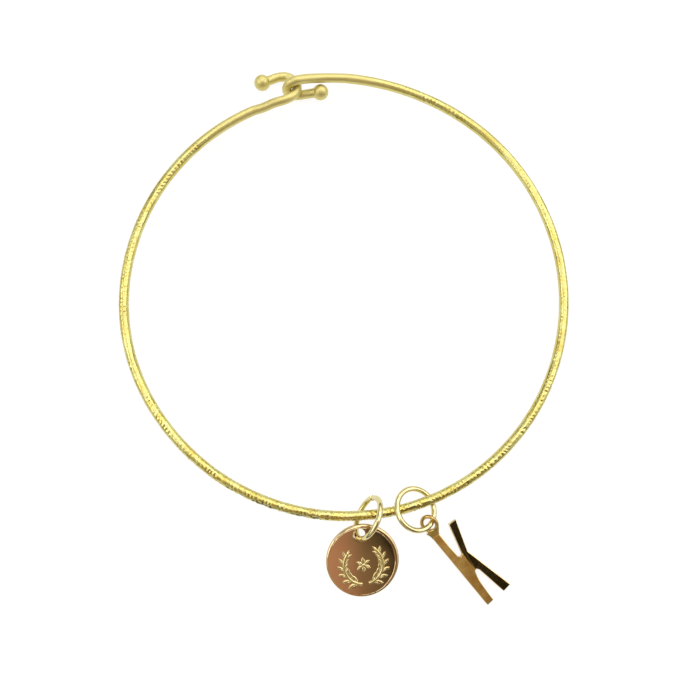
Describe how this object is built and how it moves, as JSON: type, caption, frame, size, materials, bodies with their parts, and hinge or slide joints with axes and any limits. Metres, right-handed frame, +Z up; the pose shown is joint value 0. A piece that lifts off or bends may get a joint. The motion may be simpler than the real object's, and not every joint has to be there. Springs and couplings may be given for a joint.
{
  "type": "charm bangle",
  "caption": "Round wire bangle whose ends interlock as ball-tipped hooks, with a disc bearing a leaf wreath and a letter charm hanging on jump rings.",
  "frame": {"origin": "middle of the wrist opening, on the surface that the bangle lies on", "axes": "+Z up from the surface, through the wrist opening; +Y from the middle to the hooks, away from the charms"},
  "size_m": [0.0663, 0.084, 0.0065],
  "materials": {
    "textured_wire": "gold plate, hammered satin along the hoop and smooth on the hooks",
    "jump_ring": "pale gold plate, polished",
    "disc": "gold plate, mirror-polished",
    "letter": "gold plate, mirror-polished"
  },
  "bodies": {
    "root": {"bangle_wire": "textured_wire", "disc_jump_ring": "jump_ring", "disc_charm": "disc", "initial_jump_ring": "jump_ring", "initial_charm": "letter"}
  },
  "joints": []
}
